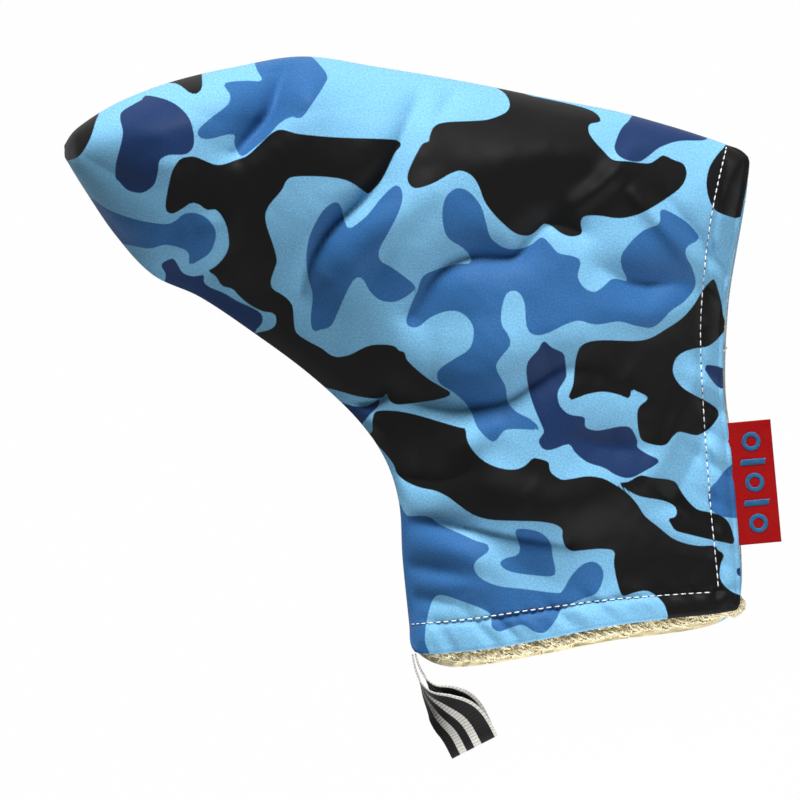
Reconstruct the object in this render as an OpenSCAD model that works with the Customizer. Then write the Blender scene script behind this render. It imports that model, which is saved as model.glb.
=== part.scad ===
// Head cover for a blade putter: a padded, boot-shaped fabric cover that lies on its back panel.
// The toe points to -X, the top seam lies along +Y, and the shaft leaves past the bottom hem, at -Y.
// Front and back are each a printed shell, a sheet of wadding and a pile lining. The front panel's
// lower right corner folds open about a line from the bottom hem to the right hem.

/* [Overall size] */
// Length from the toe tip to the right hem
cover_length = 200; // [170:1:240]
// Width from the bottom hem to the top seam
cover_width = 175; // [150:1:210]
// Height of the cover as it lies on its back
cover_height = 42; // [38:1:52]

/* [Cloth] */
// Thickness of the printed shell
shell_t = 0.8; // [0.5:0.1:1.2]
// Thickness of the wadding
padding_t = 2; // [1:0.1:3]
// Thickness of the pile lining
lining_t = 4; // [2.5:0.1:5]
// Gap between two plies
ply_gap = 0.2; // [0.15:0.05:0.3]
// Gap left between front and back plies at the perimeter seam
seam_gap = 0.6; // [0.5:0.1:1]
// Thickness of the perimeter seam's thread
seam_thread_t = 0.4; // [0.3:0.05:0.45]

/* [Opening] */
// Distance of the topstitch from the hem's edge
hem_width = 7.5; // [5:0.5:10]
// Width of the topstitch thread
stitch_w = 0.8; // [0.5:0.1:1.2]
// Height of the topstitch thread
stitch_t = 0.3; // [0.2:0.05:0.5]
// How far the bottom hem arches up where the shaft leaves
mouth_arch = 10; // [4:1:12]
// How far the back panel reaches past the front's bottom hem
bottom_reach = 5.5; // [2:0.5:9]
// How far the back panel reaches past the front's right hem
side_reach = 1.5; // [0:0.5:4]
// Gap between the flap and the rest of the front panel at the fold
fold_gap = 0.7; // [0.5:0.1:1.5]

/* [Closure] */
// Thickness of the hook strip and of the loop strip
strip_t = 1.2; // [0.8:0.1:1.6]
// Length of the two strips, across the flap
strip_length = 34; // [20:1:44]

/* [Ribbon loop] */
// Width of the ribbon
ribbon_w = 15; // [12:0.5:18]
// Thickness of the ribbon
ribbon_t = 0.7; // [0.5:0.1:1]
// Widest gap between the loop's two runs
ribbon_gap = 7; // [6:0.5:9]

/* [Label] */
// Length of the label along the hem
label_length = 36; // [28:1:44]
// How far the label stands out from the hem
label_reach = 12.5; // [9:0.5:14]
// Thickness of the folded label
label_t = 1.2; // [0.8:0.1:1.6]
// Thickness of the embroidered motif
motif_t = 0.4; // [0.3:0.1:0.6]

/* [Hidden] */
// The size that the stations below were drawn at.
drawn_length = 200;
drawn_width = 175;
scale_xy = [cover_length / drawn_length, cover_width / drawn_width];

// Stations from the toe tip to the lower right corner: [x, y] on the lower edge, [x, y] on the
// upper edge, and the height of the crest between them as a share of the cover's height.
// Stations 0 to 12 end on the perimeter seam; from 12 on they end on the two open hems.
STATIONS = [
    [[-104.8, 73.2], [-105, 76.8], 0.27],
    [[-99.5, 64.5], [-101, 82], 0.55],
    [[-90, 50.5], [-89, 89.5], 0.77],
    [[-79, 38.8], [-73, 95.6], 0.91],
    [[-65, 32.2], [-55, 99.8], 0.98],
    [[-49, 21.5], [-35, 102.9], 1],
    [[-33, 9.6], [-13, 99.8], 1],
    [[-19.5, -3], [12, 95.6], 0.99],
    [[-11, -15], [36, 90.8], 0.97],
    [[-6.8, -28], [56, 87], 0.95],
    [[-5.8, -44], [73, 82.4], 0.91],
    [[-4.2, -60], [86, 78.2], 0.87],
    [[-3, -70.5], [94, 75], 0.83],
    [[1, -72], [94.9, 69.5], 0.81],
    [[11, -71.3], [91, 49], 0.75],
    [[21.5, -70], [88.3, 31], 0.69],
    [[37.5, -67], [87.5, 8], 0.6],
    [[53.5, -63.8], [89.6, -10], 0.51],
    [[69.5, -61.7], [91.4, -29], 0.44],
    [[83, -60.4], [92.5, -46], 0.39],
    [[88.5, -59.7], [92.5, -53], 0.37],
    [[90.5, -59.4], [92.2, -56.2], 0.365]
];
TIP = 0;
HEM_START = 12;
FOLD = 15;
END = len(STATIONS) - 1;

// Depths of the ply faces below the outer face.
padding_d = shell_t + ply_gap;
lining_d = padding_d + padding_t + ply_gap;
stack_t = lining_d + lining_t;
strip_d = stack_t + ply_gap;

// The perimeter seam runs level, just above the back panel's plies.
seam_z = stack_t + seam_gap;
// The front hem's outer face, where it lies on the back panel.
hem_z = 2 * stack_t + seam_gap;

// Shape of the cover's section: 0.5 is an ellipse.
CREST_POWER = 0.52;
HEM_POWER = 0.85;
FLOOR_POWER = 0.3;
FLOOR_SPREAD = 1.1;
// Depth of a ply that starts one station in from the tip, where the toe is wide enough to hold it.
TOE_DEPTH = 7;

function ease(t) = let (c = min(1, max(0, t))) c * c * (3 - 2 * c);
function unit(v) = v / norm(v);
function mix(a, b, t) = a + (b - a) * t;

// A smooth curve through one column of the stations.
function column(k, c) = STATIONS[min(END, max(0, k))][c];
function smooth_column(k, c) =
    let (i = min(END - 1, max(0, floor(k))), t = k - i)
    let (a = column(i - 1, c), b = column(i, c), d = column(i + 1, c), e = column(i + 2, c))
    0.5 * (2 * b + (d - a) * t + (2 * a - 5 * b + 4 * d - e) * t * t
        + (3 * b - a - 3 * d + e) * t * t * t);
function stretch(p) = [p[0] * scale_xy[0], p[1] * scale_xy[1]];

// 0 where the panels are sewn together, 1 where their hems are open.
function openness(k) = ease((k - HEM_START + 1) / 1.5);
// Share of the reach that the back panel has at station k: none at the seam or the corner.
function reach_share(k) = ease((k - HEM_START) / 2) * (1 - 0.75 * ease((k - END + 3) / 3));

function low_edge(k) = stretch(smooth_column(k, 0));
function high_edge(k) = stretch(smooth_column(k, 1));
function back_low_edge(k) = low_edge(k) + [0.14, -0.99] * bottom_reach * reach_share(k);
function back_high_edge(k) = high_edge(k) + [1, 0.05] * side_reach * reach_share(k);
function crest(k) = cover_height * smooth_column(k, 2);

// A point of the chord at station k, inset at both ends, at share v of its length.
function on_chord(a, b, inset, v) =
    let (length = norm(b - a), i = min(inset, 0.49 * length) / length)
    mix(a, b, i + v * (1 - 2 * i));
function arch(v, power) = pow(max(0, 4 * v * (1 - v)), power);

// Each ply closes over the toe at its own distance from the tip.
function ply_start(d) = d / TOE_DEPTH;
function toe_round(k, d) = let (t = min(1, max(0, k - ply_start(d)))) sqrt(1 - (1 - t) * (1 - t));

// Height of the front panel's face at depth d.
function bottom_hem_z(k) = hem_z + mouth_arch * sin(180 * ease((k - HEM_START) / (END - HEM_START)));
function front_z(k, v, d) =
    let (
        o = openness(k),
        sewn = seam_z + (crest(k) - seam_z - d) * toe_round(k, d) * arch(v, CREST_POWER),
        edge = mix(bottom_hem_z(k), hem_z, v),
        free = edge - d + max(0, crest(k) - edge) * arch(v, HEM_POWER)
    )
    mix(sewn, free, o);
function front_point(k, v, d) =
    let (p = on_chord(low_edge(k), high_edge(k), d * (1 - openness(k)), v))
    [p[0], p[1], front_z(k, v, d)];

// Height of the back panel's face at depth d.
function back_z(k, v, d) =
    let (
        floor_share = min(1, FLOOR_SPREAD * arch(v, FLOOR_POWER)) * toe_round(k, d),
        seam_plane = seam_z - seam_gap,
        sewn = seam_plane - (seam_plane - d) * floor_share
    )
    mix(sewn, d, openness(k));
function back_point(k, v, d) =
    let (p = on_chord(back_low_edge(k), back_high_edge(k), d * (1 - openness(k)), v))
    [p[0], p[1], back_z(k, v, d)];

// One ply: a closed solid between depths d1 and d2, over stations k1 to k2 and chord shares v1 to v2.
module ply(front, d1, d2, k1, k2, rows, columns, v1 = 0, v2 = 1) {
    function row_k(i, d) = mix(max(k1, ply_start(d)), k2, i / rows);
    function face_points(d) = [
        for (i = [0:rows], j = [0:columns])
            let (v = mix(v1, v2, 0.5 - 0.5 * cos(180 * j / columns)))
            front ? front_point(row_k(i, d), v, d) : back_point(row_k(i, d), v, d)
    ];
    across = columns + 1;
    inner = (rows + 1) * across;
    function corner(side, i, j) = side * inner + i * across + j;
    function quad(a, b, c, d) = front ? [[a, b, c], [a, c, d]] : [[a, c, b], [a, d, c]];
    faces = [
        for (i = [0:rows - 1])
            each quad(corner(0, i, 0), corner(0, i + 1, 0), corner(1, i + 1, 0), corner(1, i, 0)),
        for (i = [0:rows - 1])
            each quad(corner(0, i, columns), corner(1, i, columns),
                corner(1, i + 1, columns), corner(0, i + 1, columns)),
        for (j = [0:columns - 1])
            each quad(corner(0, 0, j), corner(1, 0, j), corner(1, 0, j + 1), corner(0, 0, j + 1)),
        for (j = [0:columns - 1])
            each quad(corner(0, rows, j), corner(0, rows, j + 1), corner(1, rows, j + 1), corner(1, rows, j)),
        for (i = [0:rows - 1], j = [0:columns - 1])
            each quad(corner(0, i, j), corner(0, i, j + 1), corner(0, i + 1, j + 1), corner(0, i + 1, j)),
        for (i = [0:rows - 1], j = [0:columns - 1])
            each quad(corner(1, i, j), corner(1, i + 1, j), corner(1, i + 1, j + 1), corner(1, i, j + 1))
    ];
    polyhedron(concat(face_points(d1), face_points(d2)), faces);
}

// A thin band of the given section along a path: points and the sideways direction at each.
module band(path, sideways, width, thickness) {
    last = len(path) - 1;
    up = [0, 0, thickness];
    points = [
        for (i = [0:last])
            each [path[i] - sideways[i] * width / 2, path[i] + sideways[i] * width / 2,
                path[i] + sideways[i] * width / 2 + up, path[i] - sideways[i] * width / 2 + up]
    ];
    strip_solid(points, last);
}

// A solid through rings of four points each.
module strip_solid(points, last) {
    faces = [
        [0, 1, 2, 3],
        for (i = [0:last - 1], j = [0:3])
            let (a = 4 * i + j, b = 4 * i + (j + 1) % 4)
            each [[a, a + 4, b + 4], [a, b + 4, b]],
        [4 * last + 3, 4 * last + 2, 4 * last + 1, 4 * last]
    ];
    polyhedron(points, faces);
}

// The fold: the front panel is split there, half the gap on each side.
function station_step(k) = norm((low_edge(k + 0.5) + high_edge(k + 0.5) - low_edge(k - 0.5) - high_edge(k - 0.5)) / 2)
    * 0.8;
fold_before = FOLD - fold_gap / 2 / station_step(FOLD - 0.5);
fold_after = FOLD + fold_gap / 2 / station_step(FOLD + 0.5);

FRONT_ROWS = 22;
FLAP_ROWS = 8;
BACK_ROWS = 28;
COLUMNS = 12;

module front_shell() {
    color("steelblue") ply(true, 0, shell_t, TIP, fold_before, FRONT_ROWS, COLUMNS);
}
module front_padding() {
    color("whitesmoke") ply(true, padding_d, padding_d + padding_t, TIP, fold_before, FRONT_ROWS, COLUMNS);
}
module front_lining() {
    color("wheat") ply(true, lining_d, stack_t, TIP, fold_before, FRONT_ROWS, COLUMNS);
}
module flap_shell() {
    color("skyblue") ply(true, 0, shell_t, fold_after, END, FLAP_ROWS, COLUMNS);
}
module flap_padding() {
    color("whitesmoke") ply(true, padding_d, padding_d + padding_t, fold_after, END, FLAP_ROWS, COLUMNS);
}
module flap_lining() {
    color("wheat") ply(true, lining_d, stack_t, fold_after, END, FLAP_ROWS, COLUMNS);
}
module back_shell() {
    color("steelblue") ply(false, 0, shell_t, TIP, END, BACK_ROWS, COLUMNS);
}
module back_padding() {
    color("whitesmoke") ply(false, padding_d, padding_d + padding_t, TIP, END, BACK_ROWS, COLUMNS);
}
module back_lining() {
    color("wheat") ply(false, lining_d, stack_t, TIP, END, BACK_ROWS, COLUMNS);
}

// The thread of the perimeter seam lies between the two shells' edges, from hem to hem round the toe.
SEAM_ROWS = 26;
seam_end = HEM_START - 1;
function seam_edge(i) =
    let (k = abs(i) * seam_end / SEAM_ROWS, p = i < 0 ? low_edge(k) : high_edge(k))
    let (q = i < 0 ? high_edge(k) : low_edge(k))
    mix(p, q, shell_t / 2 / norm(q - p));
module perimeter_seam() {
    path = [
        for (i = [-SEAM_ROWS:-1]) seam_edge(i),
        for (i = [1:SEAM_ROWS]) seam_edge(i)
    ];
    last = len(path) - 1;
    sideways = [
        for (i = [0:last])
            let (t = unit(path[min(last, i + 1)] - path[max(0, i - 1)])) [-t[1], t[0], 0]
    ];
    z = seam_z - seam_gap / 2 - seam_thread_t / 2;
    color("navy") band([for (p = path) [p[0], p[1], z]], sideways, seam_thread_t, seam_thread_t);
}

// Topstitch along the two hems of the front panel, between stations k1 and k2.
STITCH_LIFT = 0.35;
STITCH_ROWS = 8;
// The stitch lines meet where the hems' insets cross, short of the rounded corner.
stitch_end = END - 1 - hem_width / 7.5 * 1.2;
function inset_share(edge_turn, k) = min(0.5, edge_turn / norm(high_edge(k) - low_edge(k)));
function slant(a, b) = abs(unit(a)[0] * unit(b)[1] - unit(a)[1] * unit(b)[0]);
function bottom_share(k) =
    inset_share(hem_width / slant(low_edge(k + 0.2) - low_edge(k - 0.2), high_edge(k) - low_edge(k)), k);
function side_share(k) = 1 -
    inset_share(hem_width / slant(high_edge(k + 0.2) - high_edge(k - 0.2), high_edge(k) - low_edge(k)), k);
module stitch_line(bottom, k1, k2) {
    path = [
        for (i = [0:STITCH_ROWS])
            let (k = mix(k1, k2, i / STITCH_ROWS))
            front_point(k, bottom ? bottom_share(k) : side_share(k), -STITCH_LIFT)
    ];
    sideways = [
        for (i = [0:STITCH_ROWS])
            let (t = path[min(STITCH_ROWS, i + 1)] - path[max(0, i - 1)], n = unit([-t[1], t[0]]))
            [n[0], n[1], 0]
    ];
    band(path, sideways, stitch_w, stitch_t);
}
module pocket_stitching() {
    color("white") {
        stitch_line(true, HEM_START + 0.6, fold_before);
        stitch_line(false, HEM_START + 0.6, fold_before);
    }
}
module flap_stitching() {
    color("white") {
        stitch_line(true, fold_after, stitch_end);
        stitch_line(false, fold_after, stitch_end);
    }
}

// Hook strip under the flap's lining and loop strip on the back lining, face to face.
STRIP_START = 15.4;
STRIP_END = 17.2;
function strip_share(k) = min(0.4, strip_length / 2 / norm(high_edge(k) - low_edge(k)));
strip_middle = (STRIP_START + STRIP_END) / 2;
strip_v = strip_share(strip_middle);
module hook_strip() {
    color("dimgray")
        ply(true, strip_d, strip_d + strip_t, STRIP_START, STRIP_END, 6, 8, 0.5 - strip_v, 0.5 + strip_v);
}
module loop_strip() {
    color("gray")
        ply(false, strip_d, strip_d + strip_t, STRIP_START, STRIP_END, 6, 8, 0.5 - strip_v, 0.5 + strip_v);
}

// Ribbon loop: its middle line in plan, measured from the perimeter seam's end at the bottom corner.
RIBBON_LINE = [[0.6, -2.1], [2, -7], [5.3, -12.6], [9.8, -16.7], [13.8, -20.8], [16.8, -25.4]];
RIBBON_ROWS = 14;
RIBBON_TURN_ROWS = 6;
ribbon_root = low_edge(HEM_START);
function ribbon_node(i) = ribbon_root + RIBBON_LINE[min(len(RIBBON_LINE) - 1, max(0, i))];
function ribbon_plan(t) =
    let (k = t * (len(RIBBON_LINE) - 1), i = min(len(RIBBON_LINE) - 2, floor(k)), f = k - i)
    let (a = ribbon_node(i - 1), b = ribbon_node(i), d = ribbon_node(i + 1), e = ribbon_node(i + 2))
    0.5 * (2 * b + (d - a) * f + (2 * a - 5 * b + 4 * d - e) * f * f + (3 * b - a - 3 * d + e) * f * f * f);
// The ribbon leaves the seam on edge and turns flat.
function ribbon_turn(t) = 90 * ease(t / 0.72);
function ribbon_half_gap(t) = mix(ribbon_t * 0.65, ribbon_gap / 2, ease(t / 0.85));
function ribbon_heading(t) = unit(ribbon_plan(min(1, t + 0.02)) - ribbon_plan(max(0, t - 0.02)));
function ribbon_across(t) =
    let (h = ribbon_heading(t), a = ribbon_turn(t))
    [-h[1] * sin(a), h[0] * sin(a), cos(a)];
function ribbon_normal(t) =
    let (h = ribbon_heading(t)) cross(ribbon_across(t), [h[0], h[1], 0]);
function ribbon_middle(t) =
    let (p = ribbon_plan(t), a = ribbon_turn(t))
    [p[0], p[1], ribbon_w / 2 * cos(a) + (ribbon_half_gap(t) + ribbon_t / 2) * sin(a)];
function ribbon_ring(centre, across, normal) =
    let (w = across * ribbon_w / 2, n = normal * ribbon_t / 2)
    [centre - w - n, centre + w - n, centre + w + n, centre - w + n];
module ribbon_loop() {
    end_gap = ribbon_half_gap(1);
    ahead = [ribbon_heading(1)[0], ribbon_heading(1)[1], 0];
    points = [
        for (i = [0:RIBBON_ROWS])
            let (t = i / RIBBON_ROWS)
            each ribbon_ring(ribbon_middle(t) - ribbon_normal(t) * ribbon_half_gap(t),
                ribbon_across(t), ribbon_normal(t)),
        for (i = [1:RIBBON_TURN_ROWS - 1])
            let (a = 180 * i / RIBBON_TURN_ROWS)
            let (out = ahead * sin(a) - ribbon_normal(1) * cos(a))
            each ribbon_ring(ribbon_middle(1) + out * end_gap, ribbon_across(1), -out),
        for (i = [RIBBON_ROWS:-1:0])
            let (t = i / RIBBON_ROWS)
            each ribbon_ring(ribbon_middle(t) + ribbon_normal(t) * ribbon_half_gap(t),
                ribbon_across(t), -ribbon_normal(t))
    ];
    color("black") strip_solid(points, 2 * RIBBON_ROWS + RIBBON_TURN_ROWS);
}

// Label: a folded tape sewn into the flap's right hem, under the shell.
LABEL_STATION = 16.7;
LABEL_END_STATION = 18.7;
LABEL_GAP = 0.6;
label_z = hem_z - padding_d - label_t;
label_corner = high_edge(LABEL_STATION);
label_lean = high_edge(LABEL_END_STATION) - label_corner;
label_angle = atan2(label_lean[1], label_lean[0]) + 90;
module label_frame() {
    translate([label_corner[0], label_corner[1], label_z]) rotate([0, 0, label_angle])
        translate([LABEL_GAP, 0, 0]) children();
}
module label_tab() {
    color("red") label_frame() translate([0, -label_length, 0]) cube([label_reach, label_length, label_t]);
}
// A column of plain rings and bars, raised on the label's upper face.
MOTIF_COUNT = 5;
motif_pitch = label_length / (MOTIF_COUNT + 1);
motif_r = min(label_reach, motif_pitch * 2) / 4;
module label_motif() {
    color("teal") label_frame() for (i = [1:MOTIF_COUNT])
        translate([label_reach / 2, -i * motif_pitch, label_t])
            if (i % 2 == 1) {
                difference() {
                    cylinder(h = motif_t, r = motif_r * 0.8, $fn = 32);
                    translate([0, 0, -1]) cylinder(h = motif_t + 2, r = motif_r * 0.45, $fn = 32);
                }
            } else {
                translate([-motif_r, -motif_r * 0.25, 0]) cube([2 * motif_r, motif_r * 0.5, motif_t]);
            }
}

back_shell();
back_padding();
back_lining();
front_shell();
front_padding();
front_lining();
flap_shell();
flap_padding();
flap_lining();
perimeter_seam();
pocket_stitching();
flap_stitching();
hook_strip();
loop_strip();
ribbon_loop();
label_tab();
label_motif();
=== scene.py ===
"""Looks of the putter head cover: a quilted satin cover with a camouflage print, a pile lining,
topstitched hems, a hanging ribbon and a folded label. Lengths below are in millimetres."""
import math
import bpy
import numpy as np
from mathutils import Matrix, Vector


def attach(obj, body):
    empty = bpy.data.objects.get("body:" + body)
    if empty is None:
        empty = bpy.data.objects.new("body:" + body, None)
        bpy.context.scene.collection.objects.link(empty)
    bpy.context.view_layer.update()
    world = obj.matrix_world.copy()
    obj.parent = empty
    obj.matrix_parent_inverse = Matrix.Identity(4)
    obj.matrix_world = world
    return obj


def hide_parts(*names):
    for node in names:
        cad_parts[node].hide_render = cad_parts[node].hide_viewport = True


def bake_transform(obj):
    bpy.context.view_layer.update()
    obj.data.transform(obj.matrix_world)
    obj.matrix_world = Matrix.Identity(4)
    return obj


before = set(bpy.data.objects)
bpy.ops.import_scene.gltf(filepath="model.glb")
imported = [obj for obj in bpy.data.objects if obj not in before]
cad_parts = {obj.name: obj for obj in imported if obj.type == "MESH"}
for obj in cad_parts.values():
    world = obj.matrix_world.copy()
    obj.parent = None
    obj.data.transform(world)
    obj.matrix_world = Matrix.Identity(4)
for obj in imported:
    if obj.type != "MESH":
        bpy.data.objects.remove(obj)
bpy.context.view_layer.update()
MM = 0.001
rng = np.random.default_rng(41)

# Sizes of the CAD part.
HEIGHT = 42.0
SHELL, WADDING, PILE, PLY_GAP, SEAM_GAP = 0.8, 2.0, 4.0, 0.2, 0.6
WADDING_D = SHELL + PLY_GAP
PILE_D = WADDING_D + WADDING + PLY_GAP
STACK = PILE_D + PILE
SEAM_Z = STACK + SEAM_GAP
HEM_Z = 2 * STACK + SEAM_GAP
MOUTH_ARCH, BOTTOM_REACH, SIDE_REACH = 10.0, 5.5, 1.5
HEM_START, END, TOE_DEPTH = 12, 21, 7.0
ROLL = 1.5

STATIONS = [
    [(-104.8, 73.2), (-105, 76.8), 0.27],
    [(-99.5, 64.5), (-101, 82), 0.55],
    [(-90, 50.5), (-89, 89.5), 0.77],
    [(-79, 38.8), (-73, 95.6), 0.91],
    [(-65, 32.2), (-55, 99.8), 0.98],
    [(-49, 21.5), (-35, 102.9), 1],
    [(-33, 9.6), (-13, 99.8), 1],
    [(-19.5, -3), (12, 95.6), 0.99],
    [(-11, -15), (36, 90.8), 0.97],
    [(-6.8, -28), (56, 87), 0.95],
    [(-5.8, -44), (73, 82.4), 0.91],
    [(-4.2, -60), (86, 78.2), 0.87],
    [(-3, -70.5), (94, 75), 0.83],
    [(1, -72), (94.9, 69.5), 0.81],
    [(11, -71.3), (91, 49), 0.75],
    [(21.5, -70), (88.3, 31), 0.69],
    [(37.5, -67), (87.5, 8), 0.6],
    [(53.5, -63.8), (89.6, -10), 0.51],
    [(69.5, -61.7), (91.4, -29), 0.44],
    [(83, -60.4), (92.5, -46), 0.39],
    [(88.5, -59.7), (92.5, -53), 0.37],
    [(90.5, -59.4), (92.2, -56.2), 0.365],
]
LOW = np.array([s[0] for s in STATIONS], float)
HIGH = np.array([s[1] for s in STATIONS], float)
CREST = np.array([[s[2]] for s in STATIONS], float)

# The print: closed outlines in plan (x, y, x, y, ...), black over navy over mid blue over the light ground.
BLACK_PATCHES = [
    [-94.9, 87.5, -95.5, 83, -97, 78, -100, 73.5, -103, 72.4, -107, 72.5, -109, 80, -101, 90],
    [-75.5, 95.2, -72, 94.6, -69.5, 93, -67.5, 91.4, -65.5, 91.2, -64.2, 93, -64.3, 96, -65.3, 98.5, -71, 99,
     -76, 96.5],
    [-70.5, 71.8, -68.5, 72.6, -66, 72.7, -62.5, 71.3, -60, 70.4, -57.5, 70.6, -54, 71.9, -51, 73, -48, 75.6,
     -44.5, 79, -42, 80.5, -39.5, 80.3, -35.5, 79.2, -25, 78.3, -12, 77.9, -7.5, 77.6, -6.2, 76.2, -8, 73.8,
     -9.8, 70, -12, 65.8, -14.5, 63, -15.8, 62, -17.5, 63.1, -21, 65.4, -25, 66.5, -31, 67, -37, 66.9,
     -39.3, 65.9, -41, 62.8, -44.2, 59.1, -45.6, 56, -45.2, 52.5, -43.5, 47.5, -42.4, 43, -43, 40.5,
     -44.2, 36.8, -43.6, 34.5, -40.5, 32.6, -38, 29.8, -37.5, 25, -36.8, 21.8, -33.5, 19.4, -29.5, 17.3,
     -27, 15.4, -24.5, 14.7, -21, 15.4, -17, 17.4, -14, 18.2, -10, 18.2, -7.8, 17.6, -6.8, 16.5, -5.1, 16,
     -4.6, 14, -2, 11.3, 2, 8.1, 6, 5.7, 8.4, 4.1, 6.5, 2.8, 2, 1.8, -4, 1, -7.5, 0.8, -9.5, 1.9, -10.4, 4,
     -11.4, 3, -14, 2.5, -19, 3.2, -24, 4.6, -29, 5.8, -34, 6, -42, 11, -50, 17.5, -51, 20.8, -48.5, 21.8,
     -45, 22.6, -43.2, 23.8, -42.7, 25.6, -43.5, 27.5, -46.8, 28.1, -50.5, 30, -53.5, 32.5, -55.5, 34.6,
     -58.6, 35.5, -59.8, 37.5, -61.2, 39, -62.7, 39.8, -60.5, 41.1, -58, 43.6, -56.5, 46.6, -56.4, 49.5,
     -57, 52.8, -58.4, 55.7, -60.2, 57.5, -62.7, 57.4, -65, 59, -67.2, 59.4, -69.5, 58, -72.5, 56.4,
     -74.4, 57, -74.7, 59.5, -73.8, 64.3, -72.6, 68.6],
    [-13.5, -1.3, -9, -1, -5, -1.5, 0, -2.7, 6, -4.5, 10.5, -5.8, 12.6, -6.3, 12.8, -8.5, 13.8, -11.2,
     16, -14, 19, -16.3, 23, -17.8, 27, -18.1, 30, -16.9, 31.9, -15, 33.5, -14.9, 36.6, -15.9, 36.9, -17.3,
     37.6, -19.2, 40.5, -21, 43.5, -20.8, 48, -20.1, 52.5, -20.7, 56.5, -22.8, 60, -25.3, 62.8, -28.5,
     65, -31.8, 69, -35, 73, -38.2, 77, -39.8, 81, -40.5, 85.4, -40.5, 86.5, -41.8, 88.2, -43.1, 87.3, -46,
     87, -49.4, 88.2, -52, 91, -54.2, 95, -56.5, 93, -63, 72.2, -64, 71.7, -61, 70.6, -57.6, 68.3, -55.1,
     65.5, -53.6, 62, -54.1, 59, -55.1, 57.9, -54.3, 56.6, -49.8, 55.9, -45.5, 55.9, -42, 52, -41.3,
     47, -41.7, 43.5, -41.9, 41.6, -40.4, 40.8, -37.8, 40.7, -35.6, 38.5, -34.1, 34, -33.3, 27, -33.1,
     20, -32.8, 15, -31.4, 11, -28.8, 7.5, -26.2, 4, -24.5, -1, -23.4, -5, -21.6, -7.4, -19.4, -8.3, -17,
     -10.5, -14, -13.2, -11.2, -16, -10, -17, -8, -14.7, -7.3, -14.6, -4],
    [57.2, -22.1, 60, -21.7, 63.5, -19.9, 67, -20.5, 73.4, -21.5, 75.5, -24.5, 78, -27.8, 80.5, -29.9,
     84, -30.7, 87.5, -31.8, 89.8, -34, 91, -37.5, 91.2, -39.9, 88, -39.5, 83, -38.4, 78, -37.2, 74, -36,
     72.4, -33.8, 71.9, -32.6, 73.6, -32.1, 74.4, -30.6, 73.4, -28.7, 70, -27.2, 64, -26.1, 60.5, -24.6],
    [42.5, 3, 43.8, 6.5, 44.2, 10.5, 44.8, 15, 46, 17.7, 48.5, 19, 53, 19.5, 62, 19.3, 66.5, 20.2, 71, 22.8,
     75.5, 25.8, 79, 29.6, 81, 32.8, 83.2, 35.8, 85.1, 37.4, 86.3, 34.8, 87.6, 30.5, 88.3, 26, 90, 24,
     88.2, 22, 86.2, 19.7, 83.5, 17.8, 80, 17.2, 76.5, 16.2, 74, 14.3, 73, 11, 74, 8, 76.5, 5.3, 80, 3.3,
     84, 1.2, 86.6, -1, 86.5, -3, 84, -6.2, 81, -8, 79, -8.1, 75, -7.2, 73, -8.6, 71.3, -10.7, 69, -11.2,
     65, -10.2, 63.4, -8.6, 62.6, -3.8, 63, 0, 65.8, 2.6, 62.5, 4.6, 60.9, 5, 60.2, 2.6, 57, 3.7, 52.6, 4.5,
     48, 3.8, 45, 2.7, 43, 2.1],
    [20, 95, 22.5, 93.1, 24.5, 91.3, 25.5, 88.6, 24.8, 86.4, 22.5, 84.9, 18.5, 83.6, 13, 83.2, 6.5, 82.8,
     3.5, 81.6, 2.2, 79, 1.8, 77.2, 0, 76.4, -2, 73, -4, 68.5, -4.3, 65.8, -3, 63.8, -0.8, 63.6, 3.5, 65.1,
     8, 67.7, 11.3, 68.6, 14.5, 67, 16.5, 63.8, 18, 59.8, 21, 55.7, 25.5, 51.5, 28.5, 50, 31.2, 50,
     33.3, 51.4, 35.3, 53.3, 37.5, 52.7, 40.5, 50.5, 43.5, 49.6, 46.4, 50.6, 46, 53.5, 47, 55.4, 51, 55.7,
     57, 54.9, 62, 55.8, 66, 57.6, 71.5, 61.1, 75.5, 64.3, 77.1, 68, 76.2, 71, 73.5, 72.1, 70.3, 73.5,
     68.5, 72.4, 65.8, 71, 60, 71.5, 55.5, 71.9, 53, 74.2, 49.8, 77.8, 48.4, 80.5, 49, 82.6, 51.9, 83.3,
     51.5, 85.2, 49, 87, 44, 88.6, 37, 90.2, 30, 91.9, 28, 95],
    [90.5, 78, 88.2, 75.9, 85.8, 73.2, 83.8, 69.8, 82.9, 65.5, 83.5, 61.2, 85.2, 57.7, 89, 55.9, 93, 55.6,
     97, 60, 97, 76],
]
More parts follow.
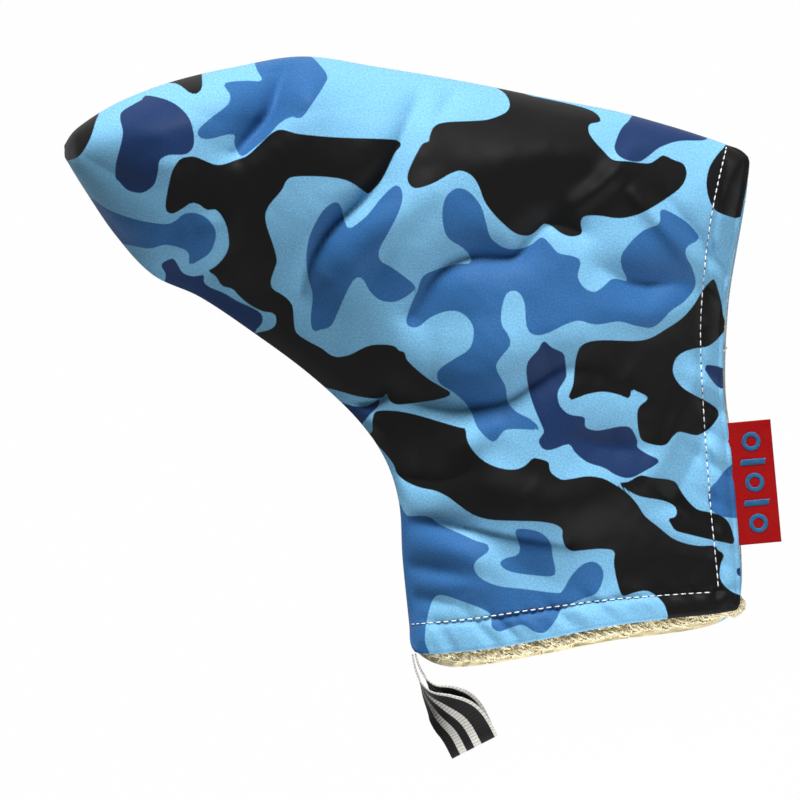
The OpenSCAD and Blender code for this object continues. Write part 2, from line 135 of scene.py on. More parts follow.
NAVY_PATCHES = [
    [-81.3, 91, -78, 90.6, -73.5, 89.1, -70, 86.7, -67.5, 83.5, -66.3, 79, -66.6, 75.4, -68.8, 73.4,
     -73.5, 73.2, -76.2, 71.7, -76.9, 68, -78, 64.8, -80.5, 62.8, -82.8, 62.4, -86, 63.3, -88.3, 65.7,
     -89.4, 67, -89.2, 71, -87.8, 76, -87.1, 80, -88, 84, -87.5, 86.3, -84, 88.5, -81.8, 89.8],
    [-75.2, 35.5, -75.2, 39, -76.3, 41.8, -73, 43.5, -71.6, 41.8, -70, 39.3, -67, 38.3, -63.8, 38.7,
     -64, 36.8, -62.3, 35.2, -58, 33.4, -54, 31, -50, 29.2, -47.2, 27.4, -46.8, 25, -48.5, 22.8, -51, 20.5,
     -60, 26, -70, 32],
    [35.2, 19.2, 33.5, 16.5, 30.8, 13.5, 30.2, 10.5, 31, 5, 32.5, 0, 34.6, -5, 35.4, -7.3, 33.8, -9.7,
     35, -12, 37.5, -12.4, 42.5, -10.8, 44.5, -13.2, 48, -16, 53, -17.7, 56.5, -19.8, 60.5, -20.6, 65, -18.5,
     69.1, -15.7, 65.5, -13.6, 62.6, -11.6, 62.7, -9.8, 60.6, -6, 57, -5.7, 51, -6.8, 47.4, -5.7, 47.4, -3.5,
     46.5, -2.7, 42.5, -2, 39.8, 0.8, 39.4, 4.5, 41.3, 7.7, 41.9, 9.5, 41.3, 15, 40.5, 16, 37.5, 17.4],
    [63, 86, 60.3, 83.7, 57.9, 81, 56.3, 77.2, 56, 75, 57.5, 72.8, 60.5, 71.6, 63.5, 71.6, 66.2, 73.4,
     69.5, 75.9, 75, 77.8, 82, 78.1, 83.6, 79.2, 82, 82, 72, 85],
    [82.4, 12.1, 87, 11.8, 89, 10, 88.5, 6, 87, 5.6, 84.4, 8.2],
    [92, -47.3, 94, -47, 94, -49.5, 92.2, -49],
    [-24, 1.2, -20, 0.3, -16, 0.4, -12.5, 2.4, -12.9, 0.3, -15.2, -2, -17.2, -4.4, -19, -6, -23, -2.5],
]
MID_PATCHES = [
    [-99.5, 63, -96.5, 61, -92, 57.9, -86, 55.5, -80, 54, -74.5, 53.4, -71.8, 54.4, -69.5, 56.2, -66, 56.5,
     -62.8, 55.1, -60.4, 52, -60.3, 48.8, -62, 45.1, -65.5, 42.7, -68, 41.8, -68.2, 44.8, -70, 46.3,
     -74.5, 47.4, -77, 47, -80, 46.4, -84, 47.1, -88, 48, -94, 50, -101, 60],
    [-48.8, 104, -48.5, 99, -46.7, 95.2, -51, 95.1, -56.4, 94.7, -57.6, 93.5, -55.9, 90.8, -56.6, 87.8,
     -61.5, 83.9, -65, 80.5, -64.6, 78.3, -61.5, 77.9, -55, 79.4, -54.6, 76.5, -52.6, 72.9, -49, 75.2,
     -44.8, 78.8, -41.5, 82.4, -38, 84.3, -35.2, 83.9, -32, 88, -28.5, 93.7, -27.7, 96.5, -30, 100, -33, 103,
     -40, 106],
    [-25, 59.6, -28, 58, -30.5, 54.6, -33, 49, -33.8, 43, -33.2, 37.5, -32, 32.5, -32.6, 26, -31.9, 22.4,
     -29.5, 22.7, -26.6, 23.8, -24.5, 28, -22.5, 32.5, -20.3, 36.6, -18.5, 37.8, -17, 36.8, -15, 33.4,
     -12, 31.1, -8, 30.7, -4, 32.7, -2.1, 35.1, -5, 37.8, -9, 40.7, -12.2, 42.6, -12.5, 45.8, -10, 50.4,
     -7, 56.3, -5.7, 61, -6.6, 64, -8.5, 64, -12, 60.7, -16, 55.7, -20, 52.5, -21.6, 52.1, -22.8, 54.8,
     -23.5, 58],
    [10, 63.5, 7, 61.2, 5.8, 57, 6.2, 52, 7.8, 48.8, 11.5, 46.5, 13.6, 44.3, 13.9, 42, 9.5, 41.5, 4, 40,
     0, 37.8, -1.5, 33.7, -3, 30.5, -4.7, 24.5, -1.5, 23.3, 2.5, 26.2, 7, 27.9, 11, 27.6, 14.2, 24.6,
     14.9, 21, 13.6, 16.9, 9.5, 14.2, 5, 11.1, 4.3, 8.6, 5.5, 6.6, 9.4, 4.1, 12.3, 1.5, 14.4, -1.7, 16, -5.8,
     18.8, -9, 21, -10, 22.8, -8, 25, -6.4, 33, -6.6, 34.2, -6.2, 31.5, -3.5, 27.5, -1.4, 24.9, 1.5, 24.2, 6,
     22.2, 9.5, 21.4, 12.2, 23.3, 15.2, 25.5, 18, 25, 20.8, 23.1, 23.8, 22.9, 27.5, 24, 32.2, 26, 33.8,
     28.2, 33.1, 29.7, 30, 30, 25, 31, 21.9, 33.5, 20.9, 37, 21.8, 41.5, 24, 45.5, 25.1, 50.5, 24, 57, 24.9,
     62, 23.7, 66.5, 23.1, 69.5, 25, 72.5, 28.2, 76, 30.5, 79, 34, 79.7, 37, 78.4, 41, 76.8, 43.8, 76.8, 46.5,
     80.4, 48.8, 80, 50.8, 76.5, 54.3, 71.5, 57.1, 69.2, 57.2, 68.8, 53.4, 64.5, 51.5, 61, 48.5, 57.8, 44,
     58.2, 40, 59.8, 36.8, 55.5, 37.4, 52.5, 35, 50, 33.5, 47, 34.7, 45.1, 38, 46, 42.3, 44, 43.8, 39.5, 44.8,
     37, 47.5, 34.7, 49.4, 31.5, 47.2, 28, 46, 24, 46.3, 20, 49, 18.6, 53, 17, 58.3, 13.5, 62.5],
    [92, -17.5, 89, -18.1, 86.2, -21.5, 84, -24, 83.6, -28, 85.5, -31, 89, -32.2, 94, -31],
    [-8, -30, -4.4, -31.8, 0, -31.8, 2.5, -32.3, 5, -34.2, 11.5, -37.1, 16, -39.1, 18.8, -39.9, 19.3, -42,
     15.8, -44.7, 15.1, -47, 17, -49.8, 22, -52.1, 30, -53.1, 39, -54.2, 41, -53.4, 43.5, -49.2, 47, -45.7,
     50.5, -45.2, 52.7, -47.6, 52.5, -51, 50.6, -54.4, 46, -56.2, 41, -58.6, 39, -62, 36, -65.6, 33, -65.6,
     29.5, -63.6, 26.5, -64.1, 22.5, -65.5, 20.3, -64, 20.1, -60.9, 17.5, -58.9, 11, -56.5, 6, -54.9,
     3.5, -55.7, 2, -59.5, 1, -64.5, 0.9, -69, 2, -72.5, -2, -75, -8, -72],
    [27.4, -37.4, 27.2, -35.7, 30.5, -35.5, 34.5, -36.6, 37.3, -39.4, 38.1, -44, 38.8, -47.5, 37.8, -49.3,
     32, -49, 25.5, -47.9, 22.7, -45.8, 24, -44.2, 27.5, -43.2, 28.5, -41.2],
]
# Where the back panel reads the print, from its own place.
BACK_PRINT_SHIFT = (7.0, -9.0)


# ---------------------------------------------------------------- shape functions
def ease(t):
    c = np.clip(t, 0, 1)
    return c * c * (3 - 2 * c)


def mix(a, b, t):
    return a + (b - a) * t


def unit(v):
    return v / np.maximum(np.linalg.norm(v, axis=-1), 1e-9)[..., None]


def steps_of(path):
    """The length of each step along a path."""
    return np.linalg.norm(np.diff(path, axis=0), axis=1)


def curve_between(a, b, c, d, t):
    """The smooth curve from b to c, with a before them and d after them."""
    square, cube = 2 * a - 5 * b + 4 * c - d, 3 * b - a - 3 * c + d
    return 0.5 * (2 * b + (c - a) * t + square * t**2 + cube * t**3)


def spline(points, k):
    """A smooth curve through points, at the numbers k."""
    k = np.asarray(k, float)
    last = len(points) - 1
    i = np.clip(np.floor(k).astype(int), 0, last - 1)
    t = (k - i)[..., None]
    a, b, c, d = (points[np.clip(i + n, 0, last)] for n in (-1, 0, 1, 2))
    return curve_between(a, b, c, d, t)


def openness(k):
    """0 where the two panels are sewn together, 1 along the free hems."""
    return ease((k - HEM_START + 1) / 1.5)


def reach_share(k):
    """How much of its full reach the back panel has past the front one."""
    return ease((k - HEM_START) / 2) * (1 - 0.75 * ease((k - END + 3) / 3))


def low_edge(k):
    return spline(LOW, k)


def high_edge(k):
    return spline(HIGH, k)


def back_low_edge(k):
    return low_edge(k) + np.array([0.14, -0.99]) * BOTTOM_REACH * reach_share(k)[..., None]


def back_high_edge(k):
    return high_edge(k) + np.array([1, 0.05]) * SIDE_REACH * reach_share(k)[..., None]


def on_chord(a, b, inset, v):
    length = np.linalg.norm(b - a, axis=-1)
    i = np.minimum(inset, 0.49 * length) / length
    return mix(a, b, (i + v * (1 - 2 * i))[..., None])


def arch(v, power):
    return np.maximum(0, 4 * v * (1 - v)) ** power


def toe_round(k, d):
    t = np.clip(k - d / TOE_DEPTH, 0, 1)
    return np.sqrt(1 - (1 - t) ** 2)


def front_plain(k, v, d, inset=0.0):
    """The front panel's face at depth d below its outer face, before any fold or dent."""
    o = openness(k)
    crest = HEIGHT * spline(CREST, k)[..., 0]
    plan_v = v
    v = v ** mix(1.0, mix(1.75, 1.2, ease((k - 8) / 5)), ease(k / 2.5))
    bottom = HEM_Z + MOUTH_ARCH * np.sin(math.pi * ease((k - HEM_START) / (END - HEM_START)))
    sewn = SEAM_Z + (crest - SEAM_Z - d) * toe_round(k, d) * arch(v, 0.52)
    edge = mix(bottom, HEM_Z, plan_v)
    free = edge - d + np.maximum(0, crest - edge) * arch(v, 0.85)
    xy = on_chord(low_edge(k), high_edge(k), d * (1 - o) + inset * o, plan_v)
    return np.concatenate([xy, mix(sewn, free, o)[..., None]], axis=-1)


def back_plain(k, v, d, inset=0.0):
    o = openness(k)
    floor = np.minimum(1, 1.1 * arch(v, 0.3)) * toe_round(k, d)
    plane = SEAM_Z - SEAM_GAP
    z = mix(plane - (plane - d) * floor, d + 0 * v, o)
    xy = on_chord(back_low_edge(k), back_high_edge(k), d * (1 - o) + inset * o, v)
    return np.concatenate([xy, z[..., None]], axis=-1)


def lattice(x, y, seed):
    """Smooth noise from -1 to 1 with cells of one unit."""
    i, j = np.floor(x).astype(np.int64), np.floor(y).astype(np.int64)
    fx, fy = ease(x - i), ease(y - j)

    def corner(a, b):
        h = (a * 374761393 + b * 668265263 + seed * 974634777) & 0xFFFFFFFF
        h = ((h ^ (h >> 13)) * 1274126177) & 0xFFFFFFFF
        return ((h ^ (h >> 16)) & 0xFFFF) / 32767.5 - 1

    low = mix(corner(i, j), corner(i + 1, j), fx)
    high = mix(corner(i, j + 1), corner(i + 1, j + 1), fx)
    return mix(low, high, fy)


def nearest(line, xy):
    """Distance from each point to a polyline, and how far along the line the nearest place is."""
    flat = xy.reshape(-1, 2)
    best = np.full(len(flat), 1e9)
    along = np.zeros(len(flat))
    run = 0.0
    for a, b in zip(line[:-1], line[1:]):
        d = b - a
        n = math.hypot(*d)
        if n < 1e-9:
            continue
        t = np.clip((flat - a) @ d / n**2, 0, 1)
        r = np.hypot(*(flat - a - t[:, None] * d).T)
        closer = r < best
        best[closer] = r[closer]
        along[closer] = run + t[closer] * n
        run += n
    return best.reshape(xy.shape[:-1]), along.reshape(xy.shape[:-1])


BOTTOM_HEM = low_edge(np.linspace(HEM_START, END, 120))
SIDE_HEM = high_edge(np.linspace(HEM_START, END, 120))
# Hem to stitch line, at the left or top end and at the corner.
BOTTOM_INSETS, SIDE_INSETS = (8.9, 6.2), (6.4, 6.4)

# The scale of the front's folds and swells, and of its puckers.
FOLD_SCALE, PUCKER_SCALE = 1.95, 1.9
# Folds and dents of the front panel: a line, its half width and its height (below zero for a valley).
FOLDS = [
    ([(18, 71), (35, 75), (50, 74), (63, 68), (74, 61)], 7, 1.5),
    ([(-2, 27), (4, 38), (14, 43.5), (27, 44), (36, 53), (46, 51)], 5, -3.0),
    ([(2, 12), (18, 14), (34, 20)], 13, 3.0),
    ([(-10, 4), (8, -1), (24, 2), (33, 7), (44, 12), (58, 7)], 5, -2.3),
    ([(12, -22), (30, -29), (46, -29), (60, -22)], 9, 2.4),
    ([(-2, -34), (14, -35.5), (30, -38), (42, -40)], 3.0, -1.9),
    ([(0, -40), (12, -43), (22, -47)], 4, 1.2),
    ([(-35, 34), (-31, 45), (-25, 53), (-17, 60), (-11, 68), (-6, 78), (-1, 90)], 3.4, -2.4),
    ([(-25, 38), (-17, 47), (-7, 56), (2, 63)], 6, 2.0),
    ([(-39, 100), (-42, 92), (-45, 84), (-54, 74)], 4, -4.0),
    ([(-47, 93), (-52, 83), (-57, 76)], 7, -1.5),
    ([(-34, 97), (-32, 86)], 6, 1.8),
    ([(-58, 96), (-62, 84)], 7, 1.0),
    ([(62, 62), (71, 52), (81, 40)], 3.2, 1.7),
    ([(70, 62), (78, 52), (85, 43)], 3, -1.4),
    ([(52, 40), (62, 36), (74, 36)], 4.5, -2.5),
    ([(56, 28), (66, 27), (76, 29)], 6, 1.5),
    ([(45, 59), (55, 67), (62, 75)], 3.4, 1.6),
    ([(11, 94), (5, 85)], 3, -1.2),
    ([(44, -9), (56, -12), (66, -12)], 5, -1.4),
    ([(66, -22), (73, -8), (80, 8)], 3.5, 1.1),
    ([(74, -26), (81, -12), (86, 2)], 3.0, -1.1),
    ([(64, -30), (72, -36), (84, -40)], 4, 1.0),
    ([(68, -24), (76, -30)], 3, -1.2),
    ([(-4, -47), (10, -49)], 2.2, -0.8),
    ([(0, -52), (20, -53)], 3, 0.7),
    ([(-3, -56), (12, -58)], 2.4, -0.8),
    ([(24, -44), (40, -52)], 5, -1.0),
    ([(0, -14), (10, -12), (20, -6)], 4, 1.4),
    ([(-8, -20), (6, -21), (14, -18)], 3, -1.6),
    ([(-23, 1), (-14, 1.5), (-9, 5)], 2.6, -1.7),
    ([(-20, -5), (-12, -6)], 3, 0.8),
    ([(-100, 74), (-86, 66), (-78, 64)], 5, -0.9),
    ([(-90, 80), (-74, 80)], 6, 1.0),
    ([(-78, 70), (-70, 71)], 4, 0.8),
    ([(-66, 50), (-58, 54)], 5, 1.0),
    ([(-62, 40), (-54, 46)], 4, -1.0),
    ([(-92, 58), (-80, 50)], 4, 0.7),
]
# Short puckers that cross the hems: place along the hem, slant, half width and height.
BOTTOM_PUCKERS = [
    (9, 0.5, 2.0, -0.35), (20, 0.7, 2.0, -0.55), (27, 0.7, 1.8, -0.6), (34, 0.7, 2.0, 0.4),
    (44, 0.8, 2.2, -0.65), (50, 0.7, 2.0, 0.4), (56, 0.8, 2.0, -0.65), (63, 0.6, 1.8, -0.45),
    (70, 0.7, 2.2, 0.45), (77, 0.6, 1.8, -0.4), (84, 0.5, 1.8, -0.35),
]
SIDE_PUCKERS = [
    (8, 0.4, 2.0, -0.3), (20, 0.5, 2.2, 0.35), (31, 0.8, 2.0, -0.75), (36, 0.8, 2.0, 0.5),
    (41, 0.8, 2.0, -0.6), (52, 0.4, 2.0, -0.3), (63, 0.8, 2.0, -0.6), (68, 0.8, 2.0, 0.5),
    (73, 0.8, 1.8, -0.7), (82, 0.8, 2.0, -0.6), (87, 0.8, 2.0, 0.5), (92, 0.8, 1.8, -0.6),
    (103, 0.5, 2.0, -0.4), (113, 0.5, 2.0, 0.4), (121, 0.5, 2.0, -0.35),
]


def fold_sum(xy, folds):
    """The height of all the folds at each place; valleys have a sharper bottom than ridges."""
    total = np.zeros(xy.shape[:-1])
    for line, width, height in folds:
        points = spline(np.array(line, float), np.linspace(0, len(line) - 1, 10 * len(line)))
        r, along = nearest(points, xy)
        whole = steps_of(points).sum()
        taper = 0.55 + 0.45 * np.sin(math.pi * np.clip(along / whole, 0, 1))
        sharp = 1.35 if height < 0 else 2.0
        total += height * taper * np.exp(-((r / width) ** sharp))
    return total


def hem_relief(xy, k):
    """The stitched groove, the soft roll outside it and the puckers that cross it."""
    out = np.zeros(xy.shape[:-1])
    share = openness(k)
    for line, insets, puckers in (
        (BOTTOM_HEM, BOTTOM_INSETS, BOTTOM_PUCKERS),
        (SIDE_HEM, SIDE_INSETS, SIDE_PUCKERS),
    ):
        r, s = nearest(line, xy)
        inset = mix(insets[0], insets[1], s / steps_of(line).sum())
        near = np.exp(-((r / 13) ** 4)) * share
        groove = -0.75 * np.exp(-(((r - inset) / 1.1) ** 2))
        swell = 0.55 * np.exp(-(((r - inset * 0.5) / (inset * 0.33)) ** 2))
        slack = 0.16 * lattice(s / 3.1 + r / 6, r / 14, 5) + 0.1 * lattice(s / 1.5 + r / 5, r / 9, 8)
        gather = 0.0
        for place, slant, width, height in puckers:
            d = (s - place + slant * (r - inset)) / width
            fade = 0.35 + 0.65 * np.exp(-(((r - inset * 0.6) / 5.5) ** 2))
            gather = gather + PUCKER_SCALE * height * np.exp(-(d**2)) * fade
        out += share * (groove + swell) + near * (slack + gather)
    return out


def puffiness(x, y, seed):
    """Loose quilted surface: slow swells that lean on each other, with small slack between them."""
    bent_x = x + 5 * lattice(x / 31, y / 29, seed + 5)
    bent_y = y + 5 * lattice(x / 27, y / 33, seed + 6)
    swell = 1.15 * lattice(bent_x / 27 + bent_y / 60, bent_y / 23 - bent_x / 70, seed)
    dimple = 0.42 * lattice(bent_x / 13 + bent_y / 40, bent_y / 11.5, seed + 1)
    slack = 0.13 * lattice(bent_x / 6.2 + bent_y / 19, bent_y / 5.4, seed + 2)
    return swell + dimple + slack + 0.035 * lattice(x / 2.9, y / 2.6, seed + 3)


def chord_of(k):
    """The front panel's width at each station."""
    return np.linalg.norm(high_edge(k) - low_edge(k), axis=-1)


def rim_fade(k, v, reach=5.0):
    """0 at a sewn edge, 1 well inside the panel; hems stay free."""
    inside = ease(np.minimum(v, 1 - v) * chord_of(k) / reach) * ease(k / 0.8)
    return mix(inside, 1.0, openness(k))


def front_relief(xy, k, v):
    slow = fold_sum(xy, FOLDS) + 0.6 * puffiness(xy[..., 0], xy[..., 1], 3)
    calm = 1 - 0.3 * ease((k - 14) / 6)
    edge = 0.12 * lattice(xy[..., 0] / 3.3, xy[..., 1] / 3.3, 17)
    slow = slow * FOLD_SCALE
    return slow * rim_fade(k, v) * calm + edge * rim_fade(k, v, 2) + hem_relief(xy, k)


def front_face(k, v, d, inset=0.0):
    p = front_plain(k, v, d, inset)
    p[..., 2] += front_relief(p[..., :2], k, v)
    return p


def back_face(k, v, d, inset=0.0):
    p = back_plain(k, v, d, inset)
    bumps = puffiness(p[..., 0], p[..., 1], 31) * 0.7 + 1.0
    p[..., 2] += np.maximum(0, bumps) * rim_fade(k, v, 14) * 0.8 * mix(1, 0.35, openness(k))
    return p


TOE_ROWS = 26


def spacing(rows, d=0.0):
    """Station numbers, evenly spaced over the cloth, with a rounded start at the toe."""
    start = d / TOE_DEPTH
    toe = start + 1 - np.cos(np.linspace(0, math.pi / 2, TOE_ROWS))
    fine = np.linspace(toe[-1], END, 3000)
    step = np.maximum(steps_of(low_edge(fine)), steps_of(high_edge(fine)))
    run = np.concatenate([[0], np.cumsum(step)])
    rest = np.interp(np.linspace(0, run[-1], rows - TOE_ROWS + 1), run, fine)
    return np.concatenate([toe, rest[1:]])


def shares(columns):
    s = np.linspace(0, 1, columns)
    return mix(s, 0.5 - 0.5 * np.cos(math.pi * s), 0.55)


# ---------------------------------------------------------------- mesh helpers
def add_mesh(name, verts, faces, material, fields=None):
    """A smooth-shaded mesh object, from vertices in millimetres."""
    mesh = bpy.data.meshes.new(name)
    mesh.from_pydata((np.asarray(verts) * MM).tolist(), [], [tuple(f) for f in faces])
    mesh.validate()
    for key, values in (fields or {}).items():
        values = np.asarray(values, np.float32)
        if values.ndim == 2:
            mesh.attributes.new(key, "FLOAT_VECTOR", "POINT").data.foreach_set("vector", values.ravel())
        else:
            mesh.attributes.new(key, "FLOAT", "POINT").data.foreach_set("value", values)
    mesh.materials.append(material)
    mesh.polygons.foreach_set("use_smooth", [True] * len(mesh.polygons))
    mesh.update()
    obj = bpy.data.objects.new(name, mesh)
    bpy.context.scene.collection.objects.link(obj)
    return obj


def grid_faces(rows, columns, flip=False, base=0):
    i, j = np.meshgrid(np.arange(rows - 1), np.arange(columns - 1), indexing="ij")
    a = (base + i * columns + j).ravel()
    quads = np.stack([a, a + 1, a + columns + 1, a + columns], axis=1)
    return quads[:, ::-1] if flip else quads


def border(rows, columns):
    """The grid's outer vertices in order round it."""
    first = list(range(columns))
    right = [i * columns + columns - 1 for i in range(1, rows)]
    last = [(rows - 1) * columns + j for j in range(columns - 2, -1, -1)]
    left = [i * columns for i in range(rows - 2, 0, -1)]
    return np.array(first + right + last + left)


def outward(loop):
    """Unit directions in plan that point out of a loop of points."""
    ahead = np.roll(loop, -2, axis=0) - np.roll(loop, 2, axis=0)
    n = np.stack([ahead[:, 1], -ahead[:, 0]], axis=1)
    n = unit(n)
    area = np.sum(loop[:, 0] * np.roll(loop[:, 1], -1) - np.roll(loop[:, 0], -1) * loop[:, 1])
    n = n if area > 0 else -n
    for _ in range(3):
        n = unit((np.roll(n, 1, axis=0) + 2 * n + np.roll(n, -1, axis=0)) / 4)
    return n


def shell_mesh(points, k, down, flip):
    """A panel's outer cloth, its open edges rolled round the wadding and its sewn edges tucked in."""
    rows, columns = points.shape[:2]
    verts = points.reshape(-1, 3)
    loop = border(rows, columns)
    out = outward(verts[loop][:, :2])
    o = openness(np.repeat(k, columns)[loop])
    angles = np.radians([25, 50, 75, 100, 130, 160, 180])
    profile = [(math.sin(a) * ROLL, (1 - math.cos(a)) * ROLL) for a in angles]
    profile += [(-1.4, 2 * ROLL - 0.4), (-2.4, 2 * ROLL - 1.7)]
    tuck = [(-0.1 * n, 0.07 * n) for n in range(1, 8)] + [(-1.2, 0.5), (-2.0, 0.5)]
    rings = [loop]
    parts = [verts]
    faces = [grid_faces(rows, columns, flip)]
    count = len(verts)
    for (r1, z1), (r2, z2) in zip(profile, tuck):
        ring = verts[loop].copy()
        ring[:, :2] += out * mix(r2, r1, o)[:, None]
        ring[:, 2] += down * mix(z2, z1, o)
        parts.append(ring)
        rings.append(np.arange(count, count + len(loop)))
        count += len(loop)
    for a, b in zip(rings[:-1], rings[1:]):
        quads = np.stack([a, b, np.roll(b, -1), np.roll(a, -1)], axis=1)
        faces.append(quads if not flip else quads[:, ::-1])
    return np.concatenate(parts), np.concatenate(faces)


def ply_mesh(top, under, flip):
    """A closed mat between two grids of the same shape."""
    rows, columns = top.shape[:2]
    n = rows * columns
    loop = border(rows, columns)
    rim = np.stack([loop, loop + n, np.roll(loop, -1) + n, np.roll(loop, -1)], axis=1)
    rim = rim if not flip else rim[:, ::-1]
    faces = np.concatenate([grid_faces(rows, columns, flip), grid_faces(rows, columns, not flip, n), rim])
    return np.concatenate([top.reshape(-1, 3), under.reshape(-1, 3)]), faces


def normals_of(points):
    return unit(np.cross(np.gradient(points, axis=0), np.gradient(points, axis=1)))


def slab(points, thickness):
    """A tape: a grid of points given a thickness."""
    n = normals_of(points) * thickness / 2
    return ply_mesh(points + n, points - n, False)


def tubes(lines, radii, sides=4):
    """Round threads along many lines of the same number of points."""
    lines = np.asarray(lines, float)
    radii = np.asarray(radii, float)
    count, steps = lines.shape[:2]
    ahead = unit(np.gradient(lines, axis=1))
    side = unit(np.cross(ahead, np.array([0.13, 0.21, 1.0])))
    up = np.cross(side, ahead)
    angle = np.arange(sides) * 2 * math.pi / sides
    ring = side[:, :, None] * np.cos(angle)[:, None] + up[:, :, None] * np.sin(angle)[:, None]
    verts = lines[:, :, None] + ring * radii[..., None, None]
    index = np.arange(count * steps * sides).reshape(count, steps, sides)
    a, b = index[:, :-1], index[:, 1:]
    quads = np.stack([a, np.roll(a, -1, axis=2), np.roll(b, -1, axis=2), b], axis=-1).reshape(-1, 4)
    caps = [tuple(r[::-1]) for r in index[:, 0]] + [tuple(r) for r in index[:, -1]]
    return verts.reshape(-1, 3), [tuple(q) for q in quads] + caps


# ---------------------------------------------------------------- the print
def closed_curve(points):
    """A smooth closed outline through points, four steps to each of them."""
    p = np.array(points, float)
    t = np.linspace(0, 1, 4, endpoint=False)[:, None]
    out = []
    for i in range(len(p)):
        a, b, c, d = p[i - 1], p[i], p[(i + 1) % len(p)], p[(i + 2) % len(p)]
        out.append(curve_between(a, b, c, d, t))
    return np.concatenate(out)


def patch_field(patches, xy):
    """Signed distance to the nearest patch outline, above zero inside a patch, held to 3 mm."""
    field = np.full(len(xy), -3.0)
    for patch in patches:
        curve = closed_curve(np.reshape(patch, (-1, 2)))
        lo, hi = curve.min(axis=0) - 3, curve.max(axis=0) + 3
        near = np.nonzero(np.all((xy > lo) & (xy < hi), axis=1))[0]
        p = xy[near]
        best = np.full(len(p), 9.0)
        inside = np.zeros(len(p), bool)
        for a, b in zip(curve, np.roll(curve, -1, axis=0)):
            d = b - a
            n2 = float(d @ d)
            if n2 < 1e-12:
                continue
            t = np.clip((p - a) @ d / n2, 0, 1)
            best = np.minimum(best, np.hypot(p[:, 0] - a[0] - t * d[0], p[:, 1] - a[1] - t * d[1]))
            if a[1] != b[1]:
                crossed = (a[1] > p[:, 1]) != (b[1] > p[:, 1])
                inside ^= crossed & (p[:, 0] < a[0] + (p[:, 1] - a[1]) * d[0] / d[1])
        signed = np.where(inside, best, -best)
        field[near] = np.maximum(field[near], np.clip(signed, -3, 3))
    return field


def print_fields(xy, back=False):
    """The print's patches; the back panel has them shifted, with black and mid blue exchanged."""
    black, mid = (MID_PATCHES, BLACK_PATCHES) if back else (BLACK_PATCHES, MID_PATCHES)
    if back:
        xy = xy + np.array(BACK_PRINT_SHIFT)
    return {
        "patch_black": patch_field(black, xy),
        "patch_navy": patch_field(NAVY_PATCHES, xy),
        "patch_mid": patch_field(mid, xy),
    }


# ---------------------------------------------------------------- materials
def srgb(r, g, b):
    def channel(c):
        c /= 255
        return c / 12.92 if c <= 0.04045 else ((c + 0.055) / 1.055) ** 2.4

    return (channel(r), channel(g), channel(b), 1)


class Shader:
    def __init__(self, name, colour, roughness=0.5, sheen=0.0, specular=0.5):
        self.material = bpy.data.materials.new(name)
        self.material.use_nodes = True
        self.tree = self.material.node_tree
        self.bsdf = self.tree.nodes["Principled BSDF"]
        self.bsdf.inputs["Base Color"].default_value = colour
        self.bsdf.inputs["Roughness"].default_value = roughness
        self.bsdf.inputs["Sheen Weight"].default_value = sheen
        self.bsdf.inputs["Sheen Roughness"].default_value = 0.4
        self.bsdf.inputs["Specular IOR Level"].default_value = specular

    def node(self, kind, **settings):
        n = self.tree.nodes.new(kind)
        for key, value in settings.items():
            setattr(n, key, value)
        return n

    def link(self, a, b):
        self.tree.links.new(a, b)

    def field(self, name, out="Fac"):
        return self.node("ShaderNodeAttribute", attribute_name=name).outputs[out]

    def math(self, operation, a, b):
        n = self.node("ShaderNodeMath", operation=operation)
        for socket, value in zip(n.inputs, (a, b)):
            if isinstance(value, (int, float)):
                socket.default_value = value
            else:
                self.link(value, socket)
        return n.outputs[0]

    def step(self, value, at, soft):
        n = self.node("ShaderNodeMapRange")
        n.inputs["From Min"].default_value = at - soft
        n.inputs["From Max"].default_value = at + soft
        self.link(value, n.inputs["Value"])
        return n.outputs["Result"]

    def blend(self, factor, a, b, mode="MIX"):
        n = self.node("ShaderNodeMix", data_type="RGBA", blend_type=mode)
        for socket, value in ((n.inputs[0], factor), (n.inputs[6], a), (n.inputs[7], b)):
            if isinstance(value, (int, float, tuple)):
                socket.default_value = value
            else:
                self.link(value, socket)
        return n.outputs[2]

    def noise(self, vector, scale, detail=2.0):
        n = self.node("ShaderNodeTexNoise")
        n.inputs["Scale"].default_value = scale
        n.inputs["Detail"].default_value = detail
        self.link(vector, n.inputs["Vector"])
        return n.outputs["Fac"]

    def waves(self, vector, scale, direction="DIAGONAL", distortion=0.4):
        n = self.node("ShaderNodeTexWave", bands_direction=direction)
        n.inputs["Scale"].default_value = scale
        n.inputs["Distortion"].default_value = distortion
        self.link(vector, n.inputs["Vector"])
        return n.outputs["Fac"]

    def bump(self, height, strength, distance):
        n = self.node("ShaderNodeBump")
        n.inputs["Strength"].default_value = strength
        n.inputs["Distance"].default_value = distance
        self.link(height, n.inputs["Height"])
        self.link(n.outputs["Normal"], self.bsdf.inputs["Normal"])

    def colour(self, socket):
        self.link(socket, self.bsdf.inputs["Base Color"])


